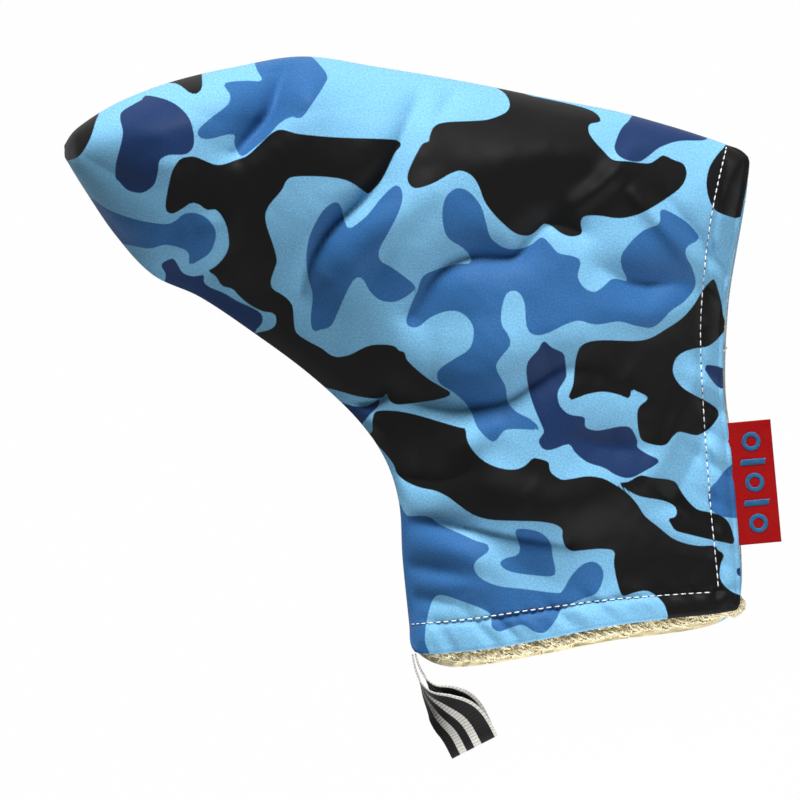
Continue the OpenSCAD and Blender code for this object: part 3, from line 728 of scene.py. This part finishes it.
def satin_print(name):
    s = Shader(name, srgb(120, 184, 226), 0.55, 0.03, 0.1)
    cloth = s.field("cloth", "Vector")
    ground = s.blend(s.step(s.field("patch_mid"), 0, 0.14), LIGHT_BLUE, MID_BLUE)
    ground = s.blend(s.step(s.field("patch_navy"), 0, 0.14), ground, NAVY)
    ground = s.blend(s.step(s.field("patch_black"), 0, 0.14), ground, BLACK)
    grain = s.noise(cloth, 1.6, 3)
    tone = s.blend(s.step(grain, 0.5, 0.25), (0.93, 0.93, 0.93, 1), (1.06, 1.06, 1.06, 1))
    twill = s.waves(cloth, 0.75, "DIAGONAL", 0.6)
    ground = s.blend(1.0, ground, tone, "MULTIPLY")
    ground = s.blend(1.0, ground, s.blend(twill, (0.93, 0.93, 0.93, 1), (1.05, 1.05, 1.05, 1)), "MULTIPLY")
    speck = s.step(s.noise(cloth, 1.9, 1), 0.5, 0.16)
    s.colour(s.blend(1.0, ground, s.blend(speck, (0.86, 0.86, 0.86, 1), (1.12, 1.12, 1.12, 1)), "MULTIPLY"))
    s.bump(s.math("ADD", twill, s.math("MULTIPLY", grain, 1.6)), 0.2, 0.0001)
    rough = s.math("ADD", s.math("MULTIPLY", grain, 0.16), 0.5)
    s.link(rough, s.bsdf.inputs["Roughness"])
    return s.material


def plain_cloth(name, colour, roughness, sheen, scale, depth):
    s = Shader(name, colour, roughness, sheen, 0.15)
    cloth = s.field("cloth", "Vector")
    weave = s.math("MULTIPLY", s.waves(cloth, scale, "X", 0.3), s.waves(cloth, scale, "Y", 0.3))
    s.bump(weave, 0.5, depth)
    s.colour(s.blend(s.noise(cloth, 0.7, 3), tuple(c * 0.82 for c in colour[:3]) + (1,), colour))
    return s.material


def pile_cloth(name):
    s = Shader(name, PILE_LIGHT, 0.85, 0.4, 0.2)
    s.colour(s.blend(s.field("tone"), PILE_DARK, PILE_LIGHT))
    return s.material


def grosgrain(name):
    s = Shader(name, BLACK, 0.7, 0.02, 0.15)
    across = s.field("across")
    colour = RIBBON_BLACK
    for start, tint in RIBBON_STRIPES:
        colour = s.blend(s.step(across, start, 0.06), colour, tint)
    ribs = s.math("SINE", s.math("MULTIPLY", s.field("along"), 2 * math.pi / 0.95), 0)
    # Each rib is darkened towards its groove and lightened on its crest: painted shade and light on the ribs.
    shade = s.blend(s.step(ribs, 0, 0.9), (0.72, 0.72, 0.72, 1), (1.04, 1.04, 1.04, 1))
    s.colour(s.blend(1.0, colour, shade, "MULTIPLY"))
    s.bump(ribs, 0.3, 0.0001)
    return s.material


def thread(name, colour):
    return Shader(name, colour, 0.45, 0.2, 0.4).material


LIGHT_BLUE = srgb(122, 183, 221)
MID_BLUE = srgb(50, 101, 156)
NAVY = srgb(28, 51, 92)
BLACK = srgb(5, 5, 5)
PILE_LIGHT = srgb(252, 244, 214)
PILE_DARK = srgb(216, 196, 146)
RIBBON_BLACK = srgb(8, 8, 9)
RIBBON_WHITE = srgb(196, 194, 188)
# Where each stripe starts across the ribbon, after a first black one.
RIBBON_STRIPES = [
    (2.7, RIBBON_WHITE), (4.9, RIBBON_BLACK), (7.4, RIBBON_WHITE), (9.7, RIBBON_BLACK), (14.1, RIBBON_WHITE)
]

shell_front = satin_print("satin_print")
pile = pile_cloth("pile")
wadding = plain_cloth("wadding", srgb(236, 236, 232), 0.9, 0.2, 0.2, 0.0003)
white_thread = thread("topstitch_thread", srgb(236, 238, 242))
navy_thread = thread("seam_thread", srgb(28, 44, 84))
# The needle holes' dark navy is painted shade in the holes, not a colour of the cloth.
hole_shade = thread("needle_hole_shade", srgb(22, 30, 52))
hook_cloth = plain_cloth("hook_tape", srgb(70, 72, 76), 0.6, 0.1, 0.35, 0.0003)
loop_cloth = plain_cloth("loop_tape", srgb(150, 152, 156), 0.9, 0.6, 0.3, 0.0004)
ribbon_cloth = grosgrain("ribbon")
label_cloth = plain_cloth("label_tape", srgb(152, 0, 2), 0.75, 0.0, 0.5, 0.0001)
label_thread = plain_cloth("label_thread", srgb(36, 104, 150), 0.5, 0.2, 0.9, 0.0001)


def bend(obj):
    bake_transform(obj)


# ---------------------------------------------------------------- the two panels
k_rows, v_columns = spacing(300), shares(200)
K, V = np.meshgrid(k_rows, v_columns, indexing="ij")

verts, faces = shell_mesh(front_face(K, V, 0.0, ROLL), k_rows, -1, True)
fields = print_fields(verts[:, :2])
fields["cloth"] = np.column_stack([verts[:, :2], np.zeros(len(verts))])
front_cover = add_mesh("front_cover", verts, faces, shell_front, fields)
bend(front_cover)
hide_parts("front_shell", "flap_shell")

k_back, v_back = spacing(220), shares(150)
KB, VB = np.meshgrid(k_back, v_back, indexing="ij")
verts, faces = shell_mesh(back_face(KB, VB, 0.0, ROLL + 1.0), k_back, 1, False)
fields = print_fields(verts[:, :2], back=True)
fields["cloth"] = np.column_stack([verts[:, :2], np.zeros(len(verts))])
back_cover = add_mesh("back_cover", verts, faces, shell_front, fields)
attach(back_cover, "pocket")
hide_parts("back_shell")


def mat_between(face, d1, d2, rows, columns, inset, fuzz=0.0):
    """The outer and inner grids of a layer between two depths; fuzz roughens the inner one."""
    grids = []
    for d in (d1 + 0.3, d2):
        k, v = np.meshgrid(np.maximum(spacing(rows, d), d / TOE_DEPTH), shares(columns), indexing="ij")
        grids.append(face(k, v, d, inset))
    if fuzz:
        x, y = grids[1][..., 0], grids[1][..., 1]
        pile_bumps = 0.6 * lattice(x / 2.3, y / 2.1, 51) + 0.4 * lattice(x / 1.2, y / 1.1, 52)
        inward = 1 if face is back_face else -1
        grids[1][..., 2] -= inward * np.abs(pile_bumps) * fuzz
    return grids


for name, face, nodes, flip in (
    ("front_wadding", front_face, ("front_padding", "flap_padding"), True),
    ("back_wadding", back_face, ("back_padding",), False),
):
    top, under = mat_between(face, WADDING_D, WADDING_D + WADDING, 170, 120, 3.0)
    verts, faces = ply_mesh(top, under, flip)
    mat = add_mesh(name, verts, faces, wadding, {"cloth": verts})
    if face is front_face:
        bend(mat)
    else:
        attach(mat, "pocket")
    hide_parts(*nodes)

for name, face, nodes, flip in (
    ("front_pile", front_face, ("front_lining", "flap_lining"), True),
    ("back_pile", back_face, ("back_lining",), False),
):
    top, under = mat_between(face, PILE_D, STACK, 200, 140, 1.2 if face is front_face else 0.6, 0.9)
    verts, faces = ply_mesh(top, under, flip)
    tone = np.clip(0.6 + 0.3 * lattice(verts[:, 0] / 1.4, verts[:, 1] / 1.3, 61), 0, 1)
    mat = add_mesh(name, verts, faces, pile, {"cloth": verts, "tone": tone})
    if face is front_face:
        bend(mat)
    else:
        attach(mat, "pocket")
    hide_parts(*nodes)


# ---------------------------------------------------------------- curls of the pile at the mouth
def curls(k, edge_v, depth, face, up, lean):
    """Short curly tufts that stand on a lining's face; depth is how far in from the hem each one is."""
    count = len(k)
    share = np.clip(depth / chord_of(k), 0, 0.5)
    v = np.where(edge_v > 0.5, 1 - share, share)
    root = face(k, v, STACK, 0.8)
    steps = np.linspace(0, 1, 9)
    heading = lean + rng.normal(0, 0.34, count) + math.pi * rng.integers(0, 2, count)
    reach = rng.uniform(2.8, 5.4, count)
    coil = rng.uniform(0.45, 1.05, count)
    turns = rng.uniform(0.7, 1.5, count) * 2 * math.pi
    phase = rng.uniform(0, 2 * math.pi, count)
    ahead = np.stack([np.cos(heading), np.sin(heading)], axis=1)
    side = np.stack([-ahead[:, 1], ahead[:, 0]], axis=1)
    lines = np.zeros((count, 9, 3))
    for n, t in enumerate(steps):
        a = phase + turns * t
        plan = ahead * (reach * (t - 0.35))[:, None] + side * (coil * np.cos(a))[:, None]
        lines[:, n, :2] = root[:, :2] + plan
        arch = math.sin(math.pi * min(1, t + 0.12))
        lines[:, n, 2] = root[:, 2] + up * (0.25 + coil * (0.7 + 0.6 * np.sin(a)) * arch)
    radii = rng.uniform(0.2, 0.42, count)[:, None] * (1 - 0.55 * np.abs(steps * 2 - 1) ** 2)[None]
    verts, faces = tubes(lines, radii)
    tone = np.repeat(np.clip(rng.normal(0.85, 0.25, count), 0.1, 1), 9 * 4)
    return verts, faces, tone


def curl_places(count, inward):
    """Random places along the hems, more of them near the edge."""
    k = rng.uniform(HEM_START + 0.2, END, count)
    sides = (rng.uniform(0, 1, count) > 0.62).astype(float)
    return k, sides, rng.uniform(0, 1, count) ** 2 * inward


k, sides, depth = curl_places(4300, 18)
lean = np.where(sides > 0.5, 1.45, 0.1)
verts, faces, tone = curls(k, sides, depth + np.where(sides > 0.5, 4.2, 2.7), back_face, 1, lean)
back_curls = add_mesh("back_curls", verts, faces, pile, {"cloth": verts, "tone": tone})
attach(back_curls, "pocket")

k, sides, depth = curl_places(900, 20)
lean = np.where(sides > 0.5, 2.6, 1.2)
verts, faces, tone = curls(k, sides, depth + 3.5, front_face, -1, lean)
front_curls = add_mesh("front_curls", verts, faces, pile, {"cloth": verts, "tone": tone})
bend(front_curls)


# ---------------------------------------------------------------- stitching
def along_line(path, pitch):
    """A function that gives the place at a length along a path, and the length where each stitch starts."""
    run = np.concatenate([[0], np.cumsum(steps_of(path))])

    def at(s):
        return np.stack([np.interp(s, run, path[:, n]) for n in range(3)], axis=-1)

    return at, np.arange(int(run[-1] / pitch)) * pitch


# The two stitch lines of the front panel, in plan: along the bottom hem and down the side hem.
BOTTOM_POINTS = np.array([(-3.6, -63.7), (14, -61.9), (33.2, -59), (53.8, -56.3), (70, -55), (86.6, -54)])
SIDE_POINTS = np.array(
    [(89.6, 78), (84.7, 57.9), (81.8, 34.4), (81.4, 13.8), (84, -25.9), (86.2, -47.9), (86.6, -54)]
)
BOTTOM_LINE = spline(BOTTOM_POINTS, np.linspace(0, 5, 60))
SIDE_LINE = spline(SIDE_POINTS, np.linspace(0, 6, 70))[::-1]
STITCH, STITCH_R, HOLE_SHADE_R = 2.4, 0.19, 0.17
SEAM_STITCH = 2.8


def hem_path(bottom, k1, k2):
    """The places on the front panel's face that lie over a stitch line."""
    k = np.linspace(k1, k2, 220)
    low, high = np.zeros(len(k)), np.full(len(k), 0.6)
    for _ in range(22):
        v = (low + high) / 2
        p = front_plain(k, v if bottom else 1 - v, 0.0, ROLL)
        if bottom:
            outside = p[:, 1] < np.interp(p[:, 0], BOTTOM_LINE[:, 0], BOTTOM_LINE[:, 1])
        else:
            outside = p[:, 0] > np.interp(p[:, 1], SIDE_LINE[:, 1], SIDE_LINE[:, 0])
        low, high = np.where(outside, v, low), np.where(outside, high, v)
    found = (v > 0.003) & (v < 0.59)
    return front_face(k[found], (v if bottom else 1 - v)[found], 0.0, ROLL)


stitch_lines, hole_shade_lines = [], []
bottom_path = hem_path(True, HEM_START - 0.9, END - 0.02)
side_path = hem_path(False, HEM_START - 0.9, END - 0.02)
bottom_path = bottom_path[bottom_path[:, 0] < 86.5]
side_path = side_path[side_path[:, 1] > -53.9]
for path in (bottom_path, side_path):
    at, starts = along_line(path, STITCH)
    for s in starts:
        t = np.linspace(0.12, 0.80, 7)
        p = at(s + t * STITCH)
        p[:, 2] += 0.1 + 0.12 * np.sin(math.pi * np.linspace(0, 1, 7))
        stitch_lines.append(p)
        h = at(s + np.linspace(0.82, 1.12, 7) * STITCH)
        h[:, 2] += 0.05
        hole_shade_lines.append(h)
radii = STITCH_R * np.sqrt(np.clip(1 - np.linspace(-0.97, 0.97, 7) ** 4, 0.1, 1))
verts, faces = tubes(stitch_lines, np.tile(radii, (len(stitch_lines), 1)), 6)
topstitch = add_mesh("topstitch", verts, faces, white_thread)
bend(topstitch)
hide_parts("pocket_stitching", "flap_stitching")
# Dark spots between the stitches, where the thread goes through: painted shade in the needle holes.
radii = HOLE_SHADE_R * np.sin(np.linspace(0.25, math.pi - 0.25, 7))
verts, faces = tubes(hole_shade_lines, np.tile(radii, (len(hole_shade_lines), 1)), 6)
hole_shades = add_mesh("needle_hole_shades", verts, faces, hole_shade)
bend(hole_shades)

ks = np.linspace(HEM_START - 1, 0.04, 260)
lower = np.concatenate([low_edge(ks), high_edge(ks[::-1])])
other = np.concatenate([high_edge(ks), low_edge(ks[::-1])])
inward = unit(other - lower)
seam_line = np.column_stack([lower + inward * 0.45, np.full(len(lower), SEAM_Z - SEAM_GAP / 2)])
at, starts = along_line(seam_line, SEAM_STITCH)
lines = [at(s + np.linspace(0.05, 0.9, 6) * SEAM_STITCH) for s in starts]
verts, faces = tubes(lines, np.tile([0.12, 0.2, 0.22, 0.22, 0.2, 0.12], (len(lines), 1)), 5)
seam = add_mesh("seam_stitches", verts, faces, navy_thread)
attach(seam, "pocket")
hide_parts("perimeter_seam")

# ---------------------------------------------------------------- closure strips
STRIP_START, STRIP_END, STRIP_LENGTH, STRIP_T = 15.4, 17.2, 34.0, 1.2
middle = np.array((STRIP_START + STRIP_END) / 2)
half = min(0.4, STRIP_LENGTH / 2 / float(np.linalg.norm(high_edge(middle) - low_edge(middle))))
along_k = np.linspace(STRIP_START, STRIP_END, 60)
k, v = np.meshgrid(along_k, np.linspace(0.5 - half, 0.5 + half, 70), indexing="ij")
for name, face, body, cloth, node in (
    ("hook_tape", front_face, "flap", hook_cloth, "hook_strip"),
    ("loop_tape", back_face, "pocket", loop_cloth, "loop_strip"),
):
    near, far = face(k, v, STACK + 0.2), face(k, v, STACK + 0.2 + STRIP_T * 0.75)
    nap = 0.22 * lattice(far[..., 0] / 0.9, far[..., 1] / 0.9, 71)
    far[..., 2] += nap
    verts, faces = ply_mesh(near, far, face is front_face)
    strip = add_mesh(name, verts, faces, cloth, {"cloth": verts})
    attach(strip, body)
    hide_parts(node)

# ---------------------------------------------------------------- ribbon loop
RIBBON_W, RIBBON_T, RIBBON_GAP = 15.0, 0.7, 4.6
RIBBON_POINTS = np.array([(0.6, -2.1), (2, -7), (5.3, -12.6), (9.8, -16.7), (14.4, -21.6), (17.6, -27.6)])
RIBBON_LINE = RIBBON_POINTS + LOW[HEM_START]


def ribbon_frame(t):
    """The ribbon's middle line with its directions; it starts on edge and turns flat towards its end."""
    span = len(RIBBON_LINE) - 1
    p = spline(RIBBON_LINE, t * span)
    after, before = np.minimum(1, t + 0.02), np.maximum(0, t - 0.02)
    h = unit(spline(RIBBON_LINE, after * span) - spline(RIBBON_LINE, before * span))
    turn = np.radians(90) * ease((t - 0.25) / 0.72)
    gap = mix(RIBBON_T * 0.65, RIBBON_GAP / 2, ease(t / 0.85))
    across = np.column_stack([-h[:, 1] * np.sin(turn), h[:, 0] * np.sin(turn), np.cos(turn)])
    ahead = np.column_stack([h, np.zeros(len(h))])
    normal = np.cross(across, ahead)
    z = RIBBON_W / 2 * np.cos(turn) + (gap + RIBBON_T / 2) * np.sin(turn)
    return np.column_stack([p, z]), across, normal, gap, ahead


t = np.linspace(0, 1, 44)
centre, across, normal, gap, ahead = ribbon_frame(t)
under_side = centre - normal * gap[:, None]
upper_side = centre + normal * gap[:, None]
angle = np.linspace(0, math.pi, 18)[1:-1]
out = ahead[-1] * np.sin(angle)[:, None] * 0.8 - normal[-1] * np.cos(angle)[:, None]
middle_line = np.concatenate([under_side, centre[-1] + out * gap[-1], upper_side[::-1]])
wide = np.concatenate([across, np.tile(across[-1], (len(angle), 1)), across[::-1]])
u = np.linspace(-0.5, 0.5, 41)
ribbon_grid = middle_line[:, None] + wide[:, None] * u[:, None] * RIBBON_W
run = np.concatenate([[0], np.cumsum(steps_of(middle_line))])
verts, faces = slab(ribbon_grid, 0.45)
verts[:, 2] = np.maximum(verts[:, 2], 0.15)
along = np.tile(np.repeat(run, len(u)), 2)
over = np.tile(np.tile((u + 0.5) * RIBBON_W, len(run)), 2)
fields = {"along": along, "across": over, "cloth": verts}
ribbon = add_mesh("hanging_ribbon", verts, faces, ribbon_cloth, fields)
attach(ribbon, "ribbon")
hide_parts("ribbon_loop")

# ---------------------------------------------------------------- label
LABEL_LENGTH, LABEL_REACH, LABEL_T, LABEL_GAP, TAPE_T = 36.0, 12.5, 1.2, 0.6, 0.32
corner = high_edge(np.array(16.7))
lean = high_edge(np.array(18.7)) - corner
label_angle = math.atan2(lean[1], lean[0]) + math.pi / 2
label_z = HEM_Z - WADDING_D - LABEL_T


def label_place(x, y, z):
    """A place on the label: x out from the hem, y along it, z up from the underside."""
    c, s = math.cos(label_angle), math.sin(label_angle)
    x = x + LABEL_GAP
    return np.stack([corner[0] + c * x - s * y, corner[1] + s * x + c * y, label_z + z], axis=-1)


def label_wave(x, y):
    return 0.3 * np.sin(y / 6.5) * ease(x / 9) + 0.12 * lattice(x / 4, y / 3, 81) * ease(x / 4)


loop_r = (LABEL_T - TAPE_T) / 2
flat_x = np.linspace(-3.0, LABEL_REACH - loop_r - TAPE_T / 2, 44)
turn = np.linspace(0, math.pi, 14)[1:-1]
fold_x = LABEL_REACH - loop_r - TAPE_T / 2 + loop_r * np.sin(turn)
section_x = np.concatenate([flat_x, fold_x, flat_x[::-1]])
section_z = LABEL_T / 2 + loop_r * np.concatenate([np.ones(44), np.cos(turn), -np.ones(44)])
down_y = -np.linspace(0, LABEL_LENGTH, 110)
X, Y = np.meshgrid(section_x, down_y, indexing="ij")
Z = np.repeat(section_z[:, None], len(down_y), axis=1)
tape = label_place(X, Y, Z + label_wave(X, Y))
verts, faces = slab(tape, TAPE_T)
cloth = np.column_stack([np.tile(X.ravel(), 2), np.tile(Y.ravel(), 2), np.zeros(2 * X.size)])
label = add_mesh("label_tape", verts, faces, label_cloth, {"cloth": cloth})
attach(label, "label")
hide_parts("label_tab")
run = steps_of(np.column_stack([section_x, section_z])).sum()

# Satin-stitched rings and bars, each one many short threads laid side by side.
motif_lines = []
pitch = LABEL_LENGTH / 6
motif_r = min(LABEL_REACH, pitch * 2) / 3.5
for i in range(1, 6):
    cx, cy = LABEL_REACH / 2, -i * pitch
    if i % 2:
        for a in np.linspace(0, 2 * math.pi, 46, endpoint=False):
            r = np.linspace(0.45, 0.8, 5) * motif_r
            motif_lines.append((cx + r * math.cos(a), cy + r * math.sin(a)))
    else:
        for x in np.linspace(-motif_r, motif_r, 19):
            y = np.linspace(-0.25, 0.25, 5) * motif_r
            motif_lines.append((cx + x + y * 0.25, cy + y))
lines = []
for x, y in motif_lines:
    z = LABEL_T + label_wave(x, y) + 0.16 * np.sin(np.linspace(0.2, math.pi - 0.2, 5))
    lines.append(label_place(x, y, z))
verts, faces = tubes(lines, np.full((len(lines), 5), 0.19), 5)
motif = add_mesh("label_motif_threads", verts, faces, label_thread, {"cloth": verts})
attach(motif, "label")
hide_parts("label_motif")

# ---------------------------------------------------------------- light, floor and camera
scene = bpy.context.scene
scene.view_settings.view_transform = "Standard"


def lamp(name, place, aim, spread, strength):
    """A far lamp at a direction, its disc spread degrees wide."""
    data = bpy.data.lights.new(name, "SUN")
    data.angle = math.radians(spread)
    data.energy = strength
    obj = bpy.data.objects.new(name, data)
    scene.collection.objects.link(obj)
    obj.location = place
    obj.rotation_euler = (Vector(aim) - Vector(place)).to_track_quat("-Z", "Y").to_euler()
    return obj


lamp("key", (-0.16, 0.86, 0.54), (0, 0, 0), 20, 5.2)
lamp("low", (0.6, -0.74, 0.34), (0, 0, 0), 30, 2.0)

# A low strip lamp in front of the bottom hem, for the pile that lies in the hem's shadow.
strip = bpy.data.lights.new("mouth", "AREA")
strip.shape = "RECTANGLE"
strip.size, strip.size_y, strip.energy = 0.08, 0.02, 0.034
mouth = bpy.data.objects.new("mouth", strip)
scene.collection.objects.link(mouth)
mouth.location = (0.06, -0.122, 0.033)
mouth.rotation_euler = (Vector((0.056, -0.064, 0.006)) - mouth.location).to_track_quat("-Z", "Y").to_euler()
mouth.visible_camera = False

# The world lights the cloth a little, and is white where it is seen.
WORLD_LIGHT, WORLD_SEEN = 0.07, 1.0
world = bpy.data.worlds.new("plain")
scene.world = world
world.use_nodes = True
tree = world.node_tree
background = tree.nodes["Background"]
path = tree.nodes.new("ShaderNodeLightPath")
seen = path.outputs["Is Camera Ray"]
for kind in ("Is Glossy Ray", "Is Transmission Ray"):
    either = tree.nodes.new("ShaderNodeMath")
    either.operation = "MAXIMUM"
    tree.links.new(seen, either.inputs[0])
    tree.links.new(path.outputs[kind], either.inputs[1])
    seen = either.outputs[0]
level = tree.nodes.new("ShaderNodeMapRange")
level.inputs["To Min"].default_value = WORLD_LIGHT
level.inputs["To Max"].default_value = WORLD_SEEN
tree.links.new(seen, level.inputs["Value"])
tree.links.new(level.outputs["Result"], background.inputs["Strength"])
background.inputs["Color"].default_value = (1, 1, 1, 1)

FLOOR_HALF, FLOOR_Z = 3000, -0.3
floor_shader = Shader("floor", (0.3, 0.3, 0.3, 1), 0.9, 0.0, 0.1)
glow = floor_shader.node("ShaderNodeEmission")
glow.inputs["Color"].default_value = (1, 1, 1, 1)
glow.inputs["Strength"].default_value = 1.0
ray = floor_shader.node("ShaderNodeLightPath")
seen = floor_shader.math("MAXIMUM", ray.outputs["Is Camera Ray"], ray.outputs["Is Glossy Ray"])
seen = floor_shader.math("MAXIMUM", seen, ray.outputs["Is Transmission Ray"])
share = floor_shader.math("MULTIPLY", seen, 0.99)
both = floor_shader.node("ShaderNodeMixShader")
floor_shader.link(share, both.inputs[0])
floor_shader.link(floor_shader.bsdf.outputs[0], both.inputs[1])
floor_shader.link(glow.outputs[0], both.inputs[2])
floor_shader.link(both.outputs[0], floor_shader.tree.nodes["Material Output"].inputs["Surface"])
corners = [(x * FLOOR_HALF, y * FLOOR_HALF, FLOOR_Z) for x, y in ((-1, -1), (1, -1), (1, 1), (-1, 1))]
floor = add_mesh("floor", corners, [(0, 1, 2, 3)], floor_shader.material)

# The camera looks straight down; the width is what it frames at z = 0.
CAMERA_HEIGHT, FRAME_WIDTH = 3.0, 0.2353
camera_data = bpy.data.cameras.new("camera")
camera_data.sensor_width = 36
camera_data.lens = 36 * CAMERA_HEIGHT / FRAME_WIDTH
camera_data.clip_end = 20
camera = bpy.data.objects.new("camera", camera_data)
scene.collection.objects.link(camera)
camera.location = (-0.0065, 0.0021, CAMERA_HEIGHT)
scene.camera = camera
